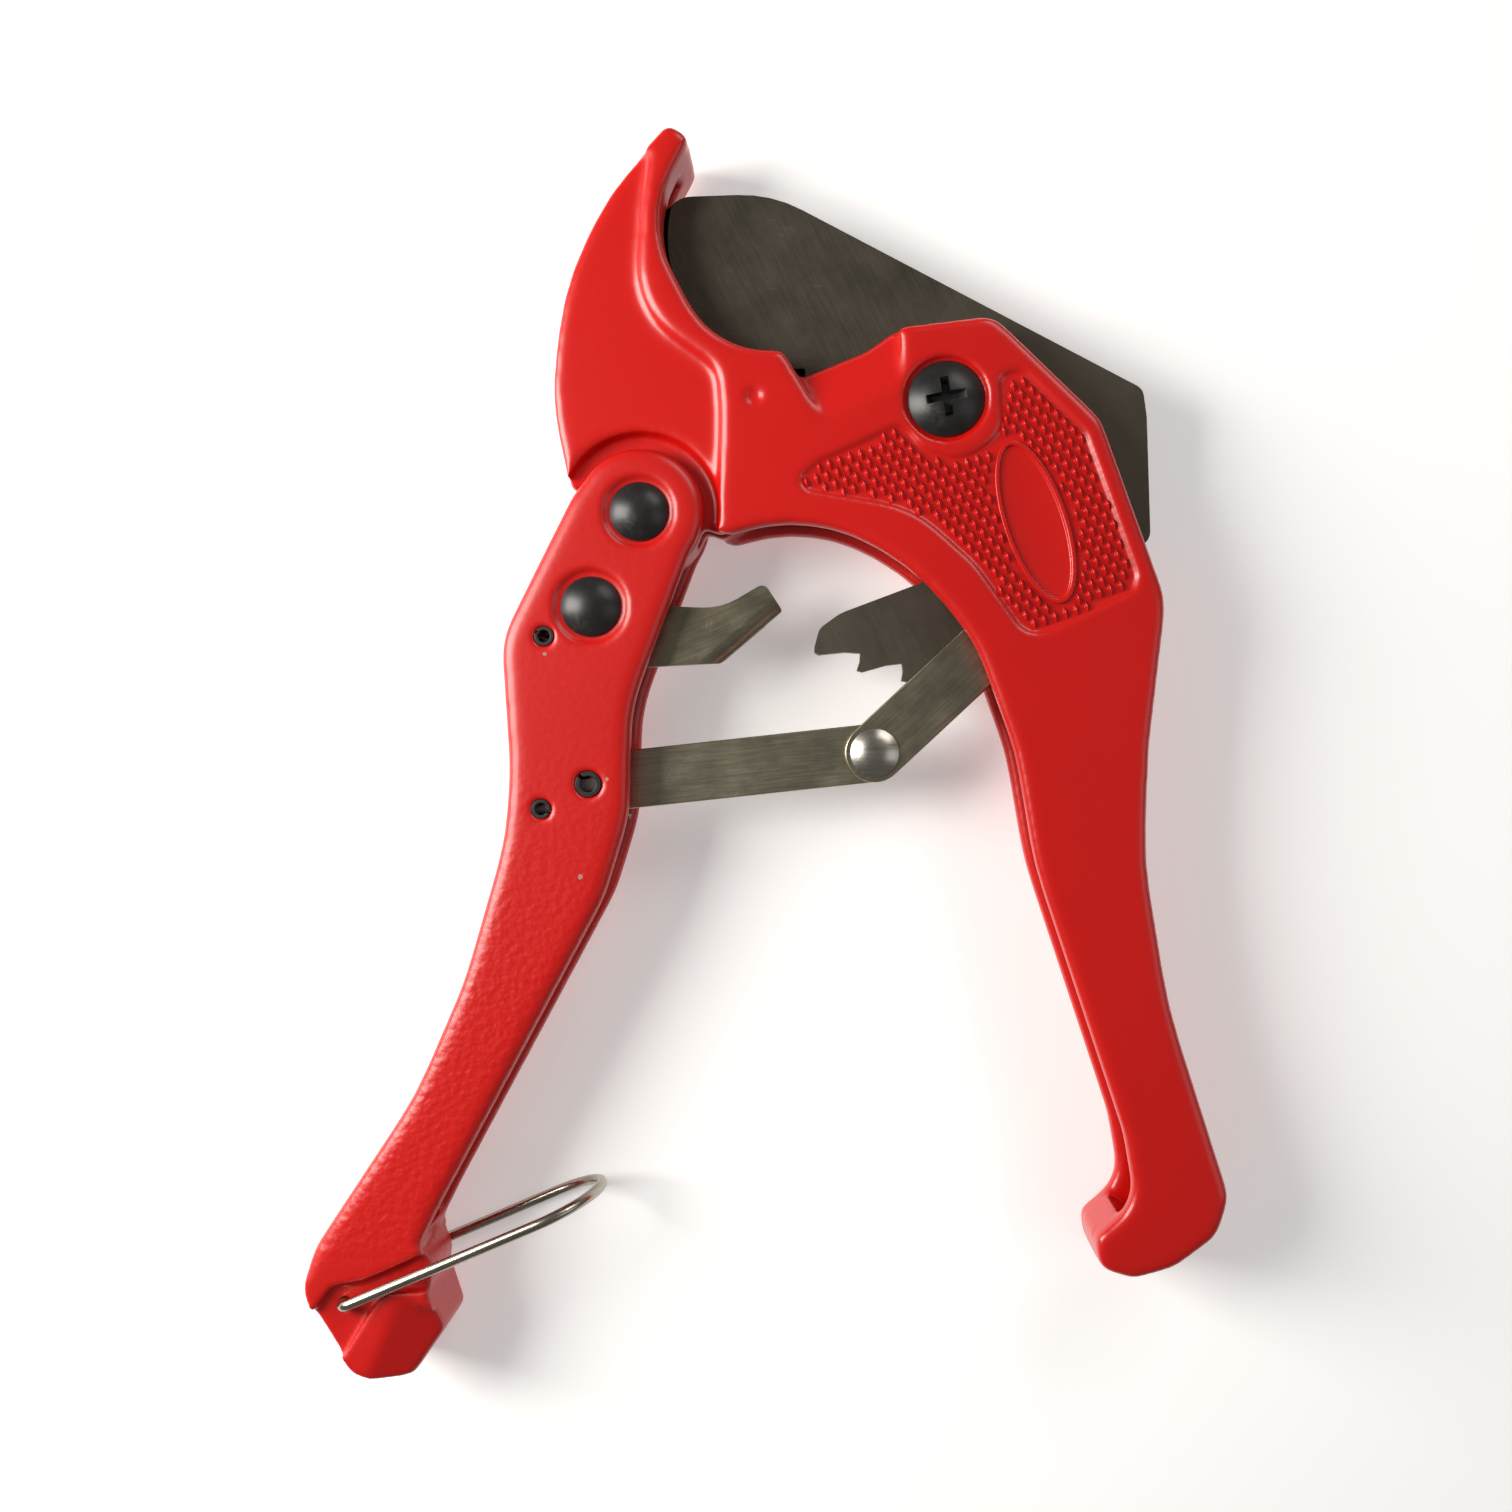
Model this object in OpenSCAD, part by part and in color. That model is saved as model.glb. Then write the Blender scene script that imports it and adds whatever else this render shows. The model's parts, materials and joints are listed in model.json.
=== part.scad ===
// Ratcheting pipe cutter: a hooked body casting with a fixed handle, a pivoting blade with a toothed tail,
// a second handle that drives the blade with a pawl, a two-bar return linkage and a wire latch.
// X points right, Y up along the tool and Z out of the front face. Outlines are laid out round the
// blade pivot.

/* [Castings] */
// Thickness of both handles and of the head
body_t = 20; // [18:0.5:24]
// Wall on each side of the handle channels
wall = 4; // [3:0.25:5]
// How far the hook faces lie below the head faces
hook_step = 1.8; // [0.5:0.1:3]
// Radius of the upper round of the pipe cradle
cradle_upper_r = 19.2; // [16:0.2:21]
// Radius of the lower round of the pipe cradle
cradle_lower_r = 16.4; // [13:0.2:19]
// Radius of the handle ears round the handle pivot
ear_r = 11.8; // [11:0.1:13]
// Gap left round the handle ears in the recess of the body
ear_gap = 2.7; // [2.6:0.1:4]
// Depth of the knurled panel
panel_depth = 0.8; // [0.4:0.1:1.5]

/* [Blade] */
// Blade thickness
blade_t = 3; // [2:0.1:4]
// Radius of the tips of the ratchet teeth
tooth_tip_r = 50.4; // [49:0.1:51.5]
// Radius of the roots of the ratchet teeth
tooth_root_r = 47.2; // [45:0.1:48]
// Number of ratchet teeth
tooth_count = 5; // [3:1:6]
// Angle from one tooth to the next
tooth_pitch = 9.6; // [8:0.2:10]

/* [Pivots] */
// Radius of the sleeve that the blade turns on
sleeve_r = 4.5; // [4:0.25:5]
// Radius of the pivot screw's shank
screw_r = 2.9; // [2:0.1:3.2]
// Radius of the pivot screw's domed head
screw_head_r = 6.8; // [6:0.1:7]
// Shank radius of the rivets at the handle and the pawl
rivet_r = 3.6; // [3:0.1:4]
// Head radius of the rivet at the handle
handle_head_r = 5.3; // [5:0.1:5.8]
// Head radius of the rivet at the pawl
pawl_head_r = 5.4; // [5:0.1:6]
// Radius of the roll pin that carries the long link
link_pin_r = 2.35; // [2:0.05:2.6]
// Radius of the two small roll pins
small_pin_r = 1.75; // [1.25:0.05:2]
// Shank radius of the knee rivet
knee_r = 2.5; // [2:0.1:3]
// Head radius of the knee rivet
knee_head_r = 4.4; // [4:0.1:4.8]

/* [Linkage] */
// Width of both link bars
link_w = 10.8; // [9:0.2:12]
// Thickness of the long link
long_link_t = 2.5; // [2:0.1:3]
// Thickness of the short link and of the pawl plate
plate_t = 2; // [1.5:0.1:2.4]
// Length of the short link from the knee to its rounded end
short_link_reach = 46; // [42:0.5:47]
// Width of the slot in the short link
slot_w = 5.4; // [4.6:0.1:6]
// Radius of the stud that rides in that slot
stud_r = 1.6; // [1.2:0.1:2]

/* [Latch] */
// Wire diameter of the latch bail
wire_d = 2; // [1.5:0.1:2.4]
// Distance from the bail's pivot to the inside of its bend
bail_reach = 49; // [46:0.5:54]
// Gap between the castings' faces and the bail's legs
bail_gap = 0.2; // [0.1:0.05:1]
// Angle of the bail above the X axis as stored
bail_angle = 23.5; // [0:0.5:40]

/* [Fits] */
// Radial clearance of a turning fit
run_fit = 0.05; // [0.03:0.01:0.1]
// Clearance between faces that slide past each other
side_fit = 0.3; // [0.2:0.05:0.5]

/* [Hidden] */
$fn = 64;
half_t = body_t / 2;
hook_half = half_t - hook_step;
channel_half = half_t - wall;
tongue_half = channel_half - side_fit;
blade_half = blade_t / 2;
washer_t = 0.5;
slot_half = blade_half + washer_t + run_fit;
front_z = blade_half + 0.4;
front_top = front_z + plate_t;
eps = 0.01;
through = half_t + 1;

// Pivot places, from the blade pivot
handle_at = [-54.9, -19.7];
pawl_at = [-63.6, -36.7];
stop_at = [-72, -42];
link_at = [-64, -68.6];
spring_at = [-72.5, -73.1];
knee_at = [-12.5, -63];
stud_at = [14.2, -38];
bail_at = [-108.9, -163.2];

// The part's origin is under the middle of its box, so everything moves by this much at the end
bail_half = half_t + bail_gap + wire_d / 2;
base_z = bail_half + wire_d / 2;
centre_at = [-33.177, -63.685];

// Outline corners are [x, y, radius]
function unit(v) = v / norm(v);
function corner(a, b, c) =
    let (p = [b[0], b[1]], u = unit([a[0], a[1]] - p), v = unit([c[0], c[1]] - p), r = b[2])
    let (half = acos(max(-1, min(1, u * v))) / 2)
    r == 0 || half > 89.5 ? [p] :
    let (mid = p + unit(u + v) * r / sin(half), start = p + u * r / tan(half) - mid)
    let (turn = (180 - 2 * half) * sign(u[0] * v[1] - u[1] * v[0]), n = max(2, ceil(abs(turn) / 9)))
    [for (i = [0 : n]) let (s = -turn * i / n)
        mid + [start[0] * cos(s) - start[1] * sin(s), start[0] * sin(s) + start[1] * cos(s)]];
function rounded(corners) =
    let (n = len(corners))
    [for (i = [0 : n - 1], p = corner(corners[(i + n - 1) % n], corners[i], corners[(i + 1) % n])) p];
function polar(r, a) = [r * cos(a), r * sin(a)];

module place() {
    translate([-centre_at[0], -centre_at[1], base_z])
    children();
}
module slab(low, high) {
    translate([0, 0, low])
    linear_extrude(high - low)
    children();
}
module shape(corners) {
    polygon(rounded(corners));
}
module disc(at, r, low, high) {
    translate([at[0], at[1], low])
    cylinder(r = r, h = high - low);
}
module ring(at, r, bore, low, high) {
    difference() {
        disc(at, r, low, high);
        disc(at, bore, low - 1, high + 1);
    }
}
module bar(from, to, w) {
    length = norm(to - from);
    way = atan2(to[1] - from[1], to[0] - from[0]);
    translate(from)
    rotate(way) {
        translate([0, -w / 2])
        square([length, w]);
        circle(r = w / 2);
        translate([length, 0])
        circle(r = w / 2);
    }
}
// A low dome of the given rim radius and height, standing on z = 0
module dome(r, h) {
    ball = (r * r + h * h) / (2 * h);
    intersection() {
        translate([0, 0, h - ball])
        sphere(r = ball, $fn = 96);
        cylinder(r = r, h = h);
    }
}
// A tube swept along points, as springs and hooked wires need
function ring_points(path, i, r, sides) =
    let (n = len(path), along = unit(path[min(n - 1, i + 1)] - path[max(0, i - 1)]))
    let (side = unit(cross(along, abs(along[2]) > 0.9 ? [1, 0, 0] : [0, 0, 1])), up = cross(side, along))
    [for (k = [0 : sides - 1]) path[i] + r * (cos(360 * k / sides) * side + sin(360 * k / sides) * up)];
module tube(path, r, sides = 8) {
    n = len(path);
    points = [for (i = [0 : n - 1], p = ring_points(path, i, r, sides)) p];
    walls = [for (i = [0 : n - 2], k = [0 : sides - 1])
        [i * sides + k, i * sides + (k + 1) % sides, (i + 1) * sides + (k + 1) % sides, (i + 1) * sides + k]];
    first = [[for (k = [sides - 1 : -1 : 0]) k]];
    last = [[for (k = [0 : sides - 1]) (n - 1) * sides + k]];
    polyhedron(points, concat(walls, first, last));
}
function coil(at, r, low, pitch, from, turns, steps = 14) =
    [for (i = [0 : turns * steps]) let (a = from + 360 * i / steps)
        [at[0] + r * cos(a), at[1] + r * sin(a), low + pitch * i / steps]];

// ---- Body casting ----
lower_edge_corner = [-38.4, -23.9, 1.5];
body_outline = [
    [-49.8, 50, 1.7], [-45.6, 47.4, 1.6], [-53.7, 32.7, cradle_upper_r],
    [-41.2, 9.1, cradle_lower_r], [-29, 9.2, 1.2], [-26.4, 4.6, 1], [-14, 9.4, 4], [-9.3, 12.9, 3],
    [8.4, 14.8, 5], [27.4, -3.7, 8], [38.9, -36, 12], [35.9, -62, 60], [35.2, -82, 60], [39.4, -108, 90],
    [50, -141.5, 6], [48, -148.4, 7], [40.5, -154.2, 10], [33.2, -156.4, 5], [27.2, -154.6, 3],
    [26.4, -149.2, 1.5], [33.6, -142.8, 8], [31.5, -130.5, 20],
    [15.8, -83, 60], [12.4, -63, 40], [5.4, -43.5, 30], [-4.8, -30.6, 40], [-24, -19.6, 30],
    lower_edge_corner,
    [-47, -21, 0], [-62, -13, 0], [-67.6, -15.5, 1], [-71.2, 1, 40], [-68.8, 22, 50], [-60.6, 38.2, 40]
];
head_edge = [
    [-41, -30, 0], [-40.4, -13, 20], [-40.2, -2, 14], [-40.6, 6, 7], [-55.4, 16.6, 16], [-54.2, 36, 18],
    [-53.2, 44, 0], [-60, 60, 0], [60, 60, 0], [60, -170, 0], [-41, -170, 0]
];
panel_outline = [
    [-26.2, -13.9, 1.2], [-22.8, -11, 2], [-7.4, -4, 3], [-4.4, -8.6, 5], [3, -11, 7], [10, -6, 6],
    [9.2, 3.6, 2], [12.9, 5.6, 3], [24.6, -6, 4], [33.8, -31.6, 3], [33, -34.4, 2], [14.6, -43, 4.5],
    [5, -29.5, 18], [-6, -19.6, 20], [-24.8, -16.2, 2]
];
fixed_channel = [
    [-30, -50, 0], [-30, -10, 0], [22, -20, 6], [33.6, -40, 12], [30.9, -62, 60], [30, -83, 60],
    [34.2, -107, 90], [44.2, -138, 5], [43, -144, 4], [36, -148.6, 2], [24, -141, 0]
];
cavity_inner_r = 22;
tail_clear_r = tooth_tip_r + 1.1;
heel_clear_r = 46;
ear_clear_r = ear_r + ear_gap;
washer_r = 9;
screw_sink = 1.2;
screw_sink_r = screw_head_r + 0.65;
nut_flats = 10;
nut_t = 4;
nut_sink = 5.2;
nut_sink_r = 6.6;
lock_t = 0.8;
dimple_at = [-34.2, 0.7];
dimple_r = 1.8;
dimple_depth = 0.6;

module sector(r, from, to) {
    reach = r * 1.6;
    intersection() {
        circle(r = r, $fn = 180);
        polygon([[0, 0], for (i = [0 : 6]) polar(reach, from + (to - from) * i / 6)]);
    }
}
module link_cavity_shape() {
    difference() {
        union() {
            sector(heel_clear_r, -95, -28);
            sector(tail_clear_r, -150, -84);
            intersection() {
                shape(fixed_channel);
                translate([-30, -150])
                square([90, 134]);
            }
        }
        circle(r = cavity_inner_r, $fn = 128);
    }
}
hook_slot = [
    [-38, 44, 0], [-50.6, 42.8, 2], [-58.6, 32.5, 14], [-63.2, 18, 20], [-63.6, 2, 10], [-54, -5, 8],
    [-30, -12, 0], [0, 10, 0], [0, 44, 0]
];
module blade_slot_shape() {
    circle(r = heel_clear_r, $fn = 180);
    sector(tail_clear_r, -186, -70);
    shape(hook_slot);
}
module body_shell() {
    slab(-half_t, half_t)
    intersection() {
        shape(body_outline);
        shape(head_edge);
    }
    slab(-hook_half, hook_half)
    shape(body_outline);
    disc(handle_at, ear_r - 0.4, -tongue_half, tongue_half);
}
scoop_at = [-21.7, -3.5];
scoop_way = 25.4;
scoop_fall = 21;
scoop_outline = [
    [-8.7, 15.6, 0], [-7.8, 3.1, 1.5], [-21.7, -3.5, 0], [-26.3, 4.7, 0], [-29, 14, 0]
];
module scoop() {
    intersection() {
        slab(0, through)
        shape(scoop_outline);
        translate([scoop_at[0], scoop_at[1], half_t])
        rotate(scoop_way)
        rotate([-scoop_fall, 0, 0])
        translate([-10, 0, 0])
        cube([60, 40, 20]);
    }
}
module frame_casting() {
    color("crimson")
    place()
    difference() {
        body_shell();
        slab(-slot_half, slot_half)
        blade_slot_shape();
        slab(-channel_half, channel_half)
        link_cavity_shape();
        disc(handle_at, ear_clear_r, tongue_half, through);
        disc(handle_at, ear_clear_r, -through, -tongue_half);
        disc(handle_at, rivet_r + run_fit, -half_t, half_t);
        disc([0, 0], sleeve_r + eps, -through, through);
        disc([0, 0], screw_sink_r, half_t - screw_sink, through);
        disc([0, 0], nut_sink_r, -through, -half_t + nut_sink);
        slab(half_t - panel_depth, through)
        shape(panel_outline);
        translate([dimple_at[0], dimple_at[1], half_t - dimple_depth])
        cylinder(r1 = dimple_r / 2, r2 = dimple_r, h = dimple_depth + eps);
        scoop();
    }
}

// ---- Moving handle ----
handle_outline = [
    [-63.5, -12, 0], [-67.2, -16.5, 3], [-80.2, -42.5, 14], [-78.7, -65, 40], [-79.3, -78, 50],
    [-87, -104.5, 60], [-96, -125.2, 60], [-114.6, -153.3, 8], [-116.6, -161.5, 7], [-107.4, -175.8, 5],
    [-103.4, -176.9, 3], [-96.6, -176.6, 2.5], [-90.8, -168.2, 1.6], [-93.4, -160.5, 4],
    [-92.5, -156.6, 1], [-95, -152.4, 2], [-61, -89, 22], [-56.4, -74, 25], [-56.2, -55, 30],
    [-47, -30.7, 26], [-43.4, -21, 0], [-47, -15, 0]
];
handle_channel = [
    [-71.2, -29.5, 0], [-76.2, -42.5, 14], [-75.1, -64, 50], [-75.6, -79, 40], [-83.2, -103.6, 60],
    [-92.2, -124, 60], [-107, -145.6, 4], [-102.6, -149.8, 3], [-88, -151, 0], [-40, -100, 0],
    [-36, -10, 0], [-66, -5, 0]
];
front_seat = 0.8;
back_seat = 1.6;
handle_seat_r = handle_head_r + 1.1;
pawl_seat_r = pawl_head_r + 1.3;
pad_step = 1.8;
pad_outline = [
    [-120, -167.4, 0], [-113.8, -163.9, 1], [-110.8, -159.7, 3], [-105.6, -159, 3], [-97, -155.2, 3],
    [-88, -150, 0], [-88, -160, 0], [-101.6, -160.6, 4], [-109.4, -173.6, 3], [-120, -172, 0]
];
module moving_handle() {
    color("crimson")
    place()
    difference() {
        union() {
            slab(-half_t, half_t)
            shape(handle_outline);
            disc(handle_at, ear_r, -half_t, half_t);
        }
        slab(-channel_half, channel_half)
        union() {
            shape(handle_channel);
            translate(handle_at)
            circle(r = ear_clear_r + 1, $fn = 96);
        }
        for (side = [-1, 1]) {
            slab(side > 0 ? half_t - pad_step : -through, side > 0 ? through : -half_t + pad_step)
            shape(pad_outline);
        }
        disc(handle_at, rivet_r + eps, -through, through);
        disc(handle_at, handle_seat_r, half_t - front_seat, through);
        disc(handle_at, handle_seat_r, -through, -half_t + back_seat);
        disc(pawl_at, rivet_r + eps, -through, through);
        disc(pawl_at, pawl_seat_r, half_t - front_seat, through);
        disc(pawl_at, pawl_seat_r, -through, -half_t + back_seat);
        disc(stop_at, small_pin_r + eps, -through, through);
        disc(spring_at, small_pin_r + eps, -through, through);
        disc(link_at, link_pin_r + eps, -through, through);
        disc(bail_at, wire_d / 2 + run_fit, -through, through);
    }
}

// ---- Blade with its toothed tail ----
first_face = -108.2;
edge_centre = [-26, 32];
edge_r = 30.4;
bevel_w = 6;
blade_front = [
    [37.6, -24.4, 3], [36.9, -2, 0], [36.2, 3.2, 2.5], [-31.4, 39.7, 24], [-48, 39.4, 5], [-55, 33.4, 7],
    [-54.6, 20, 24], [-41.5, 4.4, 22], [-20, 1.5, 16], [-7.6, -14, 12], [-1.6, -31, 3], [-18.8, -37.4, 8],
    [-22.6, -40.2, 2.5]
];
function tooth(i) =
    let (face = first_face + i * tooth_pitch)
    [polar(tooth_root_r, face - 0.5), polar(tooth_root_r + 1.4, face), polar(tooth_tip_r, face),
     polar(tooth_tip_r, face + 1.2), polar(tooth_root_r + 0.9, face + 0.6 * tooth_pitch)];
module blade_shape() {
    nose = [polar(49.6, -118.3), polar(tooth_tip_r, -117.8), polar(tooth_tip_r, -116.8),
        polar(tooth_root_r + 0.8, -112)];
    teeth = [for (i = [0 : tooth_count - 1], p = tooth(i)) p];
    tail_end = [polar(tooth_root_r, first_face + (tooth_count - 0.25) * tooth_pitch), [26, -31]];
    shape(concat(blade_front, [for (p = concat(nose, teeth, tail_end)) [p[0], p[1], 0]]));
}
module blade() {
    color("dimgray")
    place()
    difference() {
        slab(-blade_half, blade_half)
        blade_shape();
        disc([0, 0], sleeve_r + run_fit, -through, through);
        disc(stud_at, stud_r + eps, -through, through);
        for (side = [-1, 1])
            translate(edge_centre)
            rotate(150)
            rotate_extrude(angle = 122)
            polygon([[edge_r - bevel_w, side * blade_half], [edge_r + bevel_w, side * blade_half],
                [edge_r + bevel_w, -side * blade_half]]);
    }
}
module link_stud() {
    color("dimgray")
    place() {
        disc(stud_at, stud_r + eps, -blade_half, blade_half);
        disc(stud_at, stud_r, blade_half, front_top);
    }
}

// ---- Blade pivot ----
module pivot_sleeve() {
    color("silver")
    place()
    ring([0, 0], sleeve_r, screw_r + eps, -half_t + nut_sink, half_t - screw_sink);
}
module blade_washers() {
    color("silver")
    place()
    for (side = [-1, 1])
        translate([0, 0, side * (blade_half + run_fit / 2 + washer_t / 2)])
        ring([0, 0], washer_r, sleeve_r + run_fit, -washer_t / 2, washer_t / 2);
}
screw_dome = 3.2;
cross_l = 7.5;
cross_w = 1.4;
cross_turn = 9;
module pivot_screw() {
    color("black")
    place()
    difference() {
        union() {
            disc([0, 0], screw_r, -half_t + 0.4, half_t - screw_sink);
            translate([0, 0, half_t - screw_sink])
            dome(screw_head_r, screw_dome);
        }
        rotate(cross_turn)
        for (turn = [0, 90])
            rotate(turn)
            translate([-cross_l / 2, -cross_w / 2, half_t - 0.6])
            cube([cross_l, cross_w, screw_dome]);
    }
}
module pivot_nut() {
    color("black")
    place()
    difference() {
        translate([0, 0, -half_t + nut_sink - lock_t - nut_t])
        cylinder(r = nut_flats / 2 / cos(30), h = nut_t, $fn = 6);
        disc([0, 0], screw_r + eps, -through, through);
    }
}
lock_r = 5.4;
lock_gap = 0.9;
lock_slant = 20;
module lock_washer() {
    color("silver")
    place()
    difference() {
        ring([0, 0], lock_r, screw_r + 0.2, -half_t + nut_sink - lock_t, -half_t + nut_sink);
        translate([screw_r - 0.9, -lock_gap / 2, -half_t])
        rotate(lock_slant)
        cube([lock_r, lock_gap, nut_sink + 1]);
    }
}

// ---- Rivets and pins in the moving handle ----
rivet_dome = 2.5;
back_head_t = 1.2;
module headed_rivet(at, head_r) {
    disc(at, rivet_r, -half_t + back_seat - back_head_t / 2, half_t - front_seat);
    translate([at[0], at[1], half_t - front_seat])
    dome(head_r, rivet_dome);
    disc(at, head_r, -half_t + back_seat - back_head_t, -half_t + back_seat);
}
module handle_rivet() {
    color("black")
    place()
    headed_rivet(handle_at, handle_head_r);
}
module pawl_rivet() {
    color("black")
    place()
    headed_rivet(pawl_at, pawl_head_r);
}
pin_bore = 0.62;
pin_slit = 0.28;
module roll_pin(at, r, slit_way) {
    difference() {
        ring(at, r, r * pin_bore, -half_t + 0.3, half_t - 0.1);
        translate([at[0], at[1], -through])
        rotate(slit_way)
        translate([0, -r * pin_slit / 2, 0])
        cube([r * 2, r * pin_slit, 2 * through]);
    }
}
module stop_pin() {
    color("black")
    place()
    roll_pin(stop_at, small_pin_r, 150);
}
module link_pin() {
    color("black")
    place()
    roll_pin(link_at, link_pin_r, 135);
}
module spring_pin() {
    color("black")
    place()
    roll_pin(spring_at, small_pin_r, -20);
}

// ---- Pawl ----
flange_from = [-40.1, -45.9];
flange_to = [-29.5, -36.9];
flange_depth = [-1.3, 1.5];
flange_in_r = 51.2;
bush_wall = 1;
pawl_outline = [
    [-66, -30.2, 5], [-57, -31.4, 4], [-50, -36.2, 8], [-40.5, -36.6, 12], [-32.6, -32, 1.4],
    [-29.3, -37, 0.6], [-40.6, -46.6, 1.5], [-56, -47.4, 6], [-62, -44, 5], [-72.5, -40.5, 0.8],
    [-72, -37.4, 1.5], [-70, -33, 4]
];
module pawl() {
    color("tan")
    place()
    difference() {
        union() {
            slab(front_z, front_top)
            shape(pawl_outline);
            slab(-blade_half, front_z + eps)
            difference() {
                polygon([flange_from, flange_to, flange_to + flange_depth, flange_from + flange_depth]);
                circle(r = flange_in_r, $fn = 180);
            }
        }
        disc(pawl_at, rivet_r + bush_wall + run_fit, -through, through);
        disc(stop_at, small_pin_r + 0.15, -through, through);
    }
}
module pawl_bush() {
    color("silver")
    place()
    ring(pawl_at, rivet_r + bush_wall, rivet_r + eps, -tongue_half, tongue_half);
}
module pawl_spring() {
    color("silver")
    place() {
        wire_r = 0.45;
        r = rivet_r + bush_wall + 2 * wire_r;
        low = 1.4 - channel_half;
        pitch = 1.05;
        count = 4;
        from = 200;
        turns = coil(pawl_at, r, low, pitch, from, count);
        leg_x = pawl_at[0] + r * cos(from) + 2.2;
        leg_y = pawl_at[1] - 11.5;
        tube(concat([[leg_x, leg_y, low]], turns, [[leg_x + 0.8, leg_y + 0.5, low + pitch * count]]), wire_r);
    }
}

// ---- Return linkage ----
module link_bush() {
    color("silver")
    place()
    let (half = long_link_t / 2 + 0.8)
    ring(link_at, link_pin_r + bush_wall, link_pin_r + run_fit, -half, half);
}
module long_link() {
    color("tan")
    place()
    difference() {
        slab(-long_link_t / 2, long_link_t / 2)
        bar(link_at, knee_at, link_w);
        disc(link_at, link_pin_r + bush_wall + run_fit, -through, through);
        disc(knee_at, knee_r + run_fit, -through, through);
    }
}
knee_way = unit(stud_at - knee_at);
slot_from = 30.4;
slot_to = 41.2;
module short_link() {
    color("tan")
    place()
    difference() {
        slab(front_z, front_top)
        bar(knee_at, knee_at + (short_link_reach - link_w / 2) * knee_way, link_w);
        disc(knee_at, knee_r + run_fit, 0, through);
        slab(0, through)
        bar(knee_at + slot_from * knee_way, knee_at + slot_to * knee_way, slot_w);
    }
}
knee_slack = 0.1;
knee_dome = 1.6;
knee_back_t = 1.4;
module knee_rivet() {
    color("silver")
    place() {
        disc(knee_at, knee_r, -long_link_t / 2 - 2 * knee_slack, front_top + knee_slack);
        back_top = -long_link_t / 2 - knee_slack;
        disc(knee_at, knee_head_r, back_top - knee_back_t, back_top);
        translate([knee_at[0], knee_at[1], front_top + knee_slack])
        dome(knee_head_r, knee_dome);
    }
}
module knee_washer() {
    color("silver")
    place()
    ring(knee_at, knee_head_r + 0.2, knee_r + run_fit, long_link_t / 2 + run_fit, front_z - run_fit);
}
module link_spring() {
    color("silver")
    place() {
        wire_r = 0.5;
        r = link_pin_r + bush_wall + 1.8 * wire_r;
        low = channel_half - 3.4;
        turns = coil(link_at, r, low, 1.1, 215, 2);
        tube(concat([[spring_at[0] + 2.4, spring_at[1] - 4.6, low]], turns,
            [[link_at[0] + 7, link_at[1] - 6, low + 2.4]]), wire_r);
    }
}

// ---- Latch bail ----
hook_in = 6;
bend_r = 2;
module latch_bail() {
    color("silver")
    place()
    translate([bail_at[0], bail_at[1], 0])
    rotate(bail_angle) {
        for (side = [-1, 1]) {
            translate([bend_r, 0, side * bail_half])
            rotate([0, 90, 0])
            cylinder(d = wire_d, h = bail_reach + wire_d / 2 - bail_half - bend_r);
            translate([bend_r, 0, side * (bail_half - bend_r)])
            rotate([90, 0, 0])
            rotate(side > 0 ? 90 : 180)
            rotate_extrude(angle = 90)
            translate([bend_r, 0])
            circle(d = wire_d);
            translate([0, 0, side > 0 ? bail_half - bend_r - hook_in : -bail_half + bend_r])
            cylinder(d = wire_d, h = hook_in);
        }
        translate([bail_reach + wire_d / 2 - bail_half, 0, 0])
        rotate([90, 0, 0])
        rotate(-90)
        rotate_extrude(angle = 180)
        translate([bail_half, 0])
        circle(d = wire_d);
    }
}

frame_casting();
moving_handle();
blade();
link_stud();
pivot_sleeve();
blade_washers();
pivot_screw();
pivot_nut();
lock_washer();
handle_rivet();
pawl_rivet();
stop_pin();
link_pin();
spring_pin();
pawl();
pawl_bush();
pawl_spring();
link_bush();
long_link();
short_link();
knee_rivet();
knee_washer();
link_spring();
latch_bail();
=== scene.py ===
import json
import math

import bpy
import numpy as np
from mathutils import Matrix, Vector


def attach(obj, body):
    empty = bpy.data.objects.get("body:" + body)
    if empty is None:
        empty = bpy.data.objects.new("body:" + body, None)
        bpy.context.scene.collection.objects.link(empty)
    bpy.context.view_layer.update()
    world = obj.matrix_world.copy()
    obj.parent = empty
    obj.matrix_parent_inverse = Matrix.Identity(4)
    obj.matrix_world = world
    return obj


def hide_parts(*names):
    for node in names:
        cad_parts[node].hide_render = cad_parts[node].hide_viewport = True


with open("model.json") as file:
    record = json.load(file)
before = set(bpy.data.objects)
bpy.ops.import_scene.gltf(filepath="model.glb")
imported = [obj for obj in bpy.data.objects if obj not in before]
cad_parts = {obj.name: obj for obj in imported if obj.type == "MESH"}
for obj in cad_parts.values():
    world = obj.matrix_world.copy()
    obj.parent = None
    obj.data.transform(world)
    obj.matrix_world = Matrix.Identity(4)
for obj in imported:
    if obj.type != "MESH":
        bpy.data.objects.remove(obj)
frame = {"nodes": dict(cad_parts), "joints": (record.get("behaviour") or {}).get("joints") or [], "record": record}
bpy.ops.object.select_all(action="DESELECT")
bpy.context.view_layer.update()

# ---- Body casting ----
# Hook, head and fixed handle are one aluminium die casting, fettled so that every outer edge is rounded,
# then powder coated red. The coat is glossy with a faint orange peel, and it is chipped in a few places.
MM = 0.001
joint_at = {joint["name"]: Vector(joint["pos_m"]) for joint in frame["joints"]}
blade_centre = joint_at["blade_pivot"]
half_thickness = 10
cast_grain = 0.42
panel_depth = 0.8


def spot(x, y, z=0.0):
    """The place x, y, z millimetres from the middle of the blade's pivot."""
    return blade_centre + Vector((x, y, z)) * MM


def paint(code, strength=1.0):
    """A display colour such as 4A453F as the light it reflects."""
    parts = [int(code[i : i + 2], 16) / 255 for i in (0, 2, 4)]
    return (*[strength * (p / 12.92 if p < 0.04045 else ((p + 0.055) / 1.055) ** 2.4) for p in parts], 1)


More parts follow.
